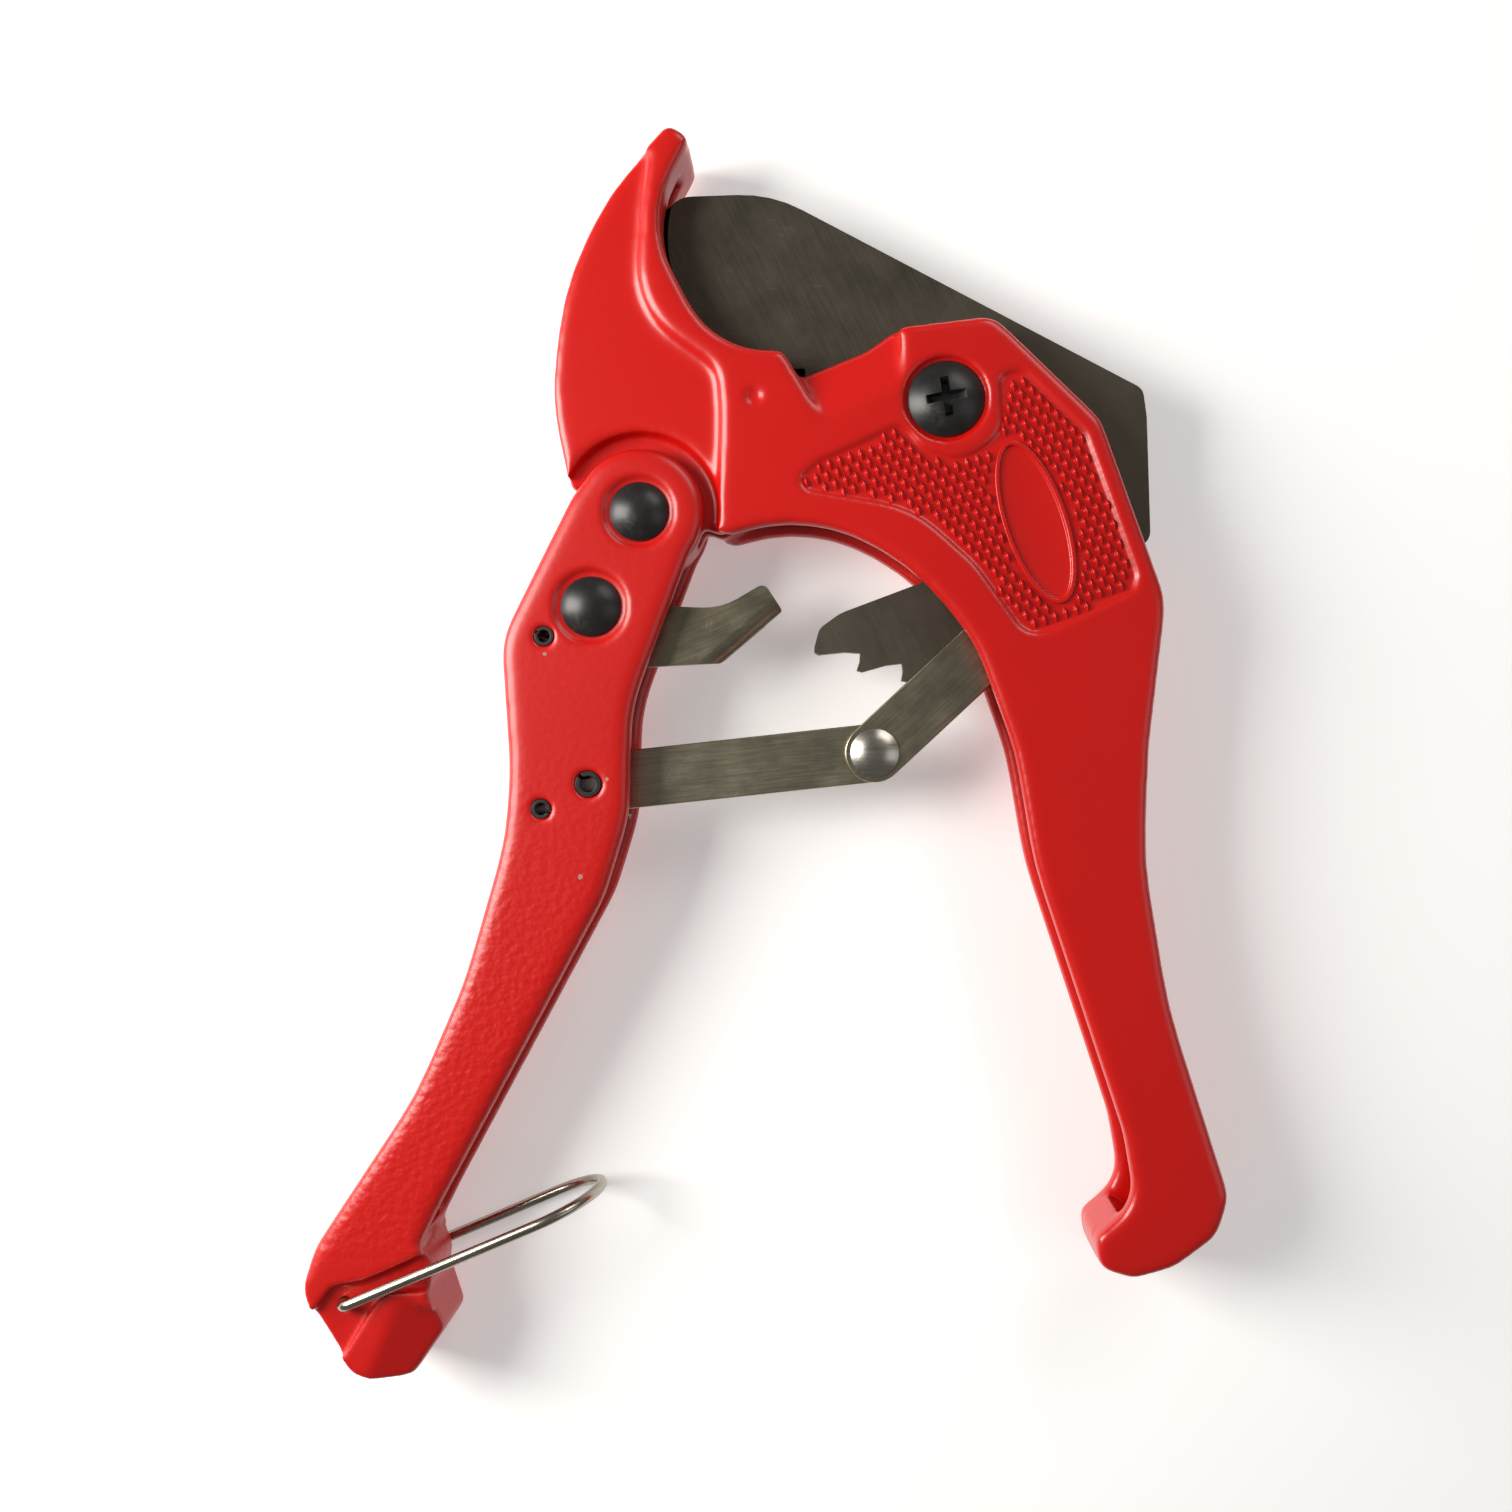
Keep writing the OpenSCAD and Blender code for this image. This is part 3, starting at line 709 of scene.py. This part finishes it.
def headed_rivet(name, node, centre, shank, head):
    profile = [
        (head - 0.3, -9.6), (head, -9.3), (head, -8.6), (head - 0.2, -8.4), (shank, -8.39),
        (shank, half_thickness - 0.8),
    ] + dome_profile(head, 0.35, 2.1, half_thickness - 0.8, 12)
    rivet = turned(name, centre, profile)
    # The black finish paints a highlight on the rivet's dome, to the lower left of its middle.
    return fitted(rivet, black_oxide(name + "_black", centre + Vector((-2, -2.2, 11)) * MM), node=node)


headed_rivet("joint_rivet", "handle_rivet", handle_centre, 3.6, 5.3)
headed_rivet("pawl_rivet_head", "pawl_rivet", pawl_centre, 3.6, 5.4)

# ---- Roll pins ----
# Three split pins rolled from black spring steel and driven through the handle: the pawl's stop, the
# carrier of the long link, and the anchor of its spring. Their ends are chamfered.
# The black finish paints a highlight patch within 7 mm of this place on the roll pins.
pin_black = black_oxide("black_roll_pins", spot(-68, -60, 10), 0.45)
for node in ("stop_pin", "link_pin", "spring_pin"):
    fitted(eased(node, node + "_rolled", 0.16), pin_black, node=node)

# ---- Pawl ----
# Stamped from plate, nickel plated, and bent down along its nose so that the flange meets the teeth. It
# turns on a bush over its rivet, and a torsion spring of thin wire presses it up.


def wire(name, points, radius, finish, node, sides=4):
    """A drawn wire bent along points, with closed ends."""
    line = bpy.data.curves.new(name, "CURVE")
    line.dimensions = "3D"
    line.bevel_depth = radius
    line.bevel_resolution = sides
    line.use_fill_caps = True
    run = line.splines.new("POLY")
    run.points.add(len(points) - 1)
    for place, point in zip(run.points, points):
        place.co = (*point, 1)
    piece = bpy.data.objects.new(name, line)
    bpy.context.collection.objects.link(piece)
    only(piece)
    bpy.ops.object.convert(target="MESH")
    piece = bpy.context.object
    edit(piece)
    bpy.ops.mesh.remove_doubles(threshold=0.001 * MM)
    bpy.ops.mesh.normals_make_consistent(inside=False)
    done()
    bpy.ops.object.shade_smooth_by_angle(angle=math.radians(50))
    return fitted(piece, finish, node=node)


def coil(centre, radius, low, pitch, start, turns, steps=40):
    """Points along a coil, in metres, rising from low."""
    made = []
    for i in range(turns * steps + 1):
        a = math.radians(start) + 2 * math.pi * i / steps
        turn = Vector((radius * math.cos(a), radius * math.sin(a), low + pitch * i / steps))
        made.append(centre + turn * MM)
    return made


nickel = scratched_steel(
    "nickel_plate", "665F4E", "C2B9A2", 0.34, turn=24, specks=0.6, metallic=1.0, grain=0.45
)
pawl = copied("pawl", "pawl_plate")
edit(pawl)
bpy.ops.mesh.dissolve_limited(angle_limit=math.radians(0.6))
done()
pawl_bend, bend_drop, bend_cuts, bend_step = 2.6, 1.6, 9, 0.32
bend_start, bend_end = spot(-42.6, -44.6), spot(-31.7, -35.3)
bend_way = (bend_end - bend_start).normalized()
bend_out = Vector((bend_way.y, -bend_way.x, 0))
for cut in range(bend_cuts):
    edit(pawl)
    bpy.ops.mesh.bisect(plane_co=bend_start + bend_out * cut * bend_step * MM, plane_no=bend_out)
    done()
front_top = blade_centre.z + 3.9 * MM
for vertex in pawl.data.vertices:
    past = (vertex.co - bend_start).dot(bend_out) / MM
    on_nose = (vertex.co - bend_start).dot(bend_way) > -6 * MM
    if past > 0 and on_nose and vertex.co.z > front_top - 0.1 * MM:
        past = min(past, pawl_bend - 0.02)
        fall = pawl_bend - math.sqrt(pawl_bend**2 - past**2)
        vertex.co.z -= min(fall, bend_drop) * MM
modified(pawl, "BEVEL", width=0.22 * MM, segments=2, limit_method="ANGLE", angle_limit=math.radians(40))
only(pawl)
bpy.ops.object.shade_smooth_by_angle(angle=math.radians(30))
modified(pawl, "WEIGHTED_NORMAL", keep_sharp=True, weight=100)
fitted(pawl, nickel, node="pawl")
fitted(
    turned("pawl_bush_turned", pawl_centre, pipe_profile(4.6, 3.61, -5.7, 5.7), True),
    bright_steel, node="pawl_bush",
)
spring_steel = scratched_steel("drawn_wire", "77736B", "CFCBC0", 0.28, specks=0.2, metallic=1.0, grain=0.4)
pawl_coil_radius = 3.6 + 1.9
coil_start = math.radians(200)
leg_x = pawl_coil_radius * math.cos(coil_start)
wire(
    "pawl_spring_wire",
    [pawl_centre + Vector((leg_x + 2.2, -11.5, -4.6)) * MM]
    + coil(pawl_centre, pawl_coil_radius, -4.6, 1.05, 200, 4)
    + [pawl_centre + Vector((leg_x + 3, -11, -0.4)) * MM],
    0.45 * MM, spring_steel, "pawl_spring",
)

# ---- Return linkage ----
# Two plated steel bars joined at a knee by a bright rivet with a thin washer between them. The long bar
# turns on a bush over the large roll pin, and the short one has a slot for the blade's stud.
knee_centre = joint_at["knee_rivet_turn"]
bar_nickel = scratched_steel(
    "bar_plate", "7A725F", "DDD4BC", 0.32, turn=6, specks=0.7, metallic=1.0, grain=0.62
)
short_nickel = scratched_steel(
    "short_bar_plate", "726A58", "CEC5AE", 0.34, turn=43, specks=0.8, metallic=1.0
)
fitted(
    turned("link_bush_turned", link_centre, pipe_profile(3.35, 2.4, -2.05, 2.05, 0.12), True),
    bright_steel, node="link_bush",
)
fitted(eased("long_link", "long_bar", 0.28, 3), bar_nickel, node="long_link")
fitted(eased("short_link", "short_bar", 0.28, 3), short_nickel, node="short_link")
fitted(
    turned("knee_washer_turned", knee_centre, pipe_profile(4.6, 2.55, 1.3, 1.85, 0.08), True),
    bright_steel, node="knee_washer",
)
knee_profile = [
    (4.1, -2.75), (4.4, -2.5), (4.4, -1.6), (4.2, -1.35), (2.5, -1.34), (2.5, 4.0),
] + dome_profile(4.4, 0.3, 1.3, 4.0, 10)
fitted(turned("knee_rivet_bright", knee_centre, knee_profile), bright_steel, node="knee_rivet")
link_coil_radius = 2.35 + 1.9
wire(
    "link_spring_wire",
    [spot(anchor_at[0] + 2.4, anchor_at[1] - 4.6, 2.6)]
    + coil(link_centre, link_coil_radius, 2.6, 1.1, 215, 2)
    + [link_centre + Vector((7, -6, 5)) * MM],
    0.5 * MM, spring_steel, "link_spring",
)

# ---- Latch bail ----
# A loop of 2 mm stainless wire, hooked inward into both faces of the handle's end. It swings over the foot
# of the fixed handle to hold the tool shut.
wire_radius, bend_radius, hook_length = 1.0, 2.0, 6.0
bail_half, bail_reach, bail_turn = 11.2, 49.0, math.radians(23.5)
loop_start = bail_reach + wire_radius - bail_half
path = [(0, bail_half - bend_radius - hook_length)]
path += [
    (bend_radius - bend_radius * math.cos(a), bail_half - bend_radius + bend_radius * math.sin(a))
    for a in (math.pi / 2 * i / 12 for i in range(13))
]
path += [(bend_radius + (loop_start - bend_radius) * i / 10, bail_half) for i in range(1, 10)]
path += [
    (loop_start + bail_half * math.sin(a), bail_half * math.cos(a))
    for a in (math.pi * i / 40 for i in range(21))
]
path += [(x, -z) for x, z in reversed(path[:-1])]
bail_points = [
    bail_centre + Vector((x * math.cos(bail_turn), x * math.sin(bail_turn), z)) * MM for x, z in path
]
stainless = scratched_steel(
    "stainless_wire", "7D7568", "D2CCBD", 0.25, turn=23.5, specks=0.3, metallic=1.0
)
wire("bail_wire", bail_points, wire_radius * MM, stainless, "latch_bail", sides=6)

# ---- Floor, light and camera ----
# A plain white table with a faint glow of its own, a close soft lamp on the left, and two weaker ones at the
# upper right and the right. The camera stands 29 cm above the tool and leans under 3 degrees from upright.
bpy.ops.mesh.primitive_plane_add(size=6, location=(0, 0, -0.0002))
floor = bpy.context.object
floor.name = "floor"
pale = Finish("pale_floor")
pale.looks(
    Base_Color=(0.94, 0.94, 0.94, 1), Roughness=0.9, Emission_Color=(1, 1, 1, 1), Emission_Strength=0.3
)
floor.data.materials.append(pale.material)

world = bpy.data.worlds.new("studio")
world.use_nodes = True
world.node_tree.nodes["Background"].inputs[0].default_value = (1.0, 0.98, 0.94, 1)
world.node_tree.nodes["Background"].inputs[1].default_value = 0.14
bpy.context.scene.world = world


def soft_light(name, place, size, power, colour=(1, 1, 1)):
    """A rectangular lamp that faces the middle of the tool."""
    lamp = bpy.data.lights.new(name, "AREA")
    lamp.shape = "RECTANGLE"
    lamp.size, lamp.size_y = size
    lamp.energy = power
    lamp.color = colour
    made = bpy.data.objects.new(name, lamp)
    bpy.context.collection.objects.link(made)
    made.location = place
    made.rotation_euler = (-Vector(place)).to_track_quat("-Z", "Y").to_euler()


soft_light("key", (-0.36, 0.08, 0.26), (0.22, 0.34), 3.1, (1.0, 0.97, 0.92))
soft_light("top", (0.4, 0.6, 0.5), (0.5, 0.3), 1.6, (1.0, 0.98, 0.95))
soft_light("fill", (0.8, -0.1, 0.7), (0.5, 0.6), 0.8)

sensor_width, focal_pixels, photo_width = 36, 1570, 1512
eye_right = Vector((0.99889, 0.0, -0.04708))
eye_up = Vector((-0.00018, 0.99999, -0.00382))
eye_back = Vector((0.04708, 0.00382, 0.99888))
camera = bpy.data.objects.new("camera", bpy.data.cameras.new("camera"))
bpy.context.collection.objects.link(camera)
eye_turn = Matrix((eye_right, eye_up, eye_back)).transposed().to_4x4()
camera.matrix_world = Matrix.Translation(spot(-20.609, -62.477, 290)) @ eye_turn
camera.data.sensor_width = sensor_width
camera.data.lens = sensor_width * focal_pixels / photo_width
camera.data.clip_start = 0.01
bpy.context.scene.camera = camera
bpy.context.scene.view_settings.view_transform = "Standard"
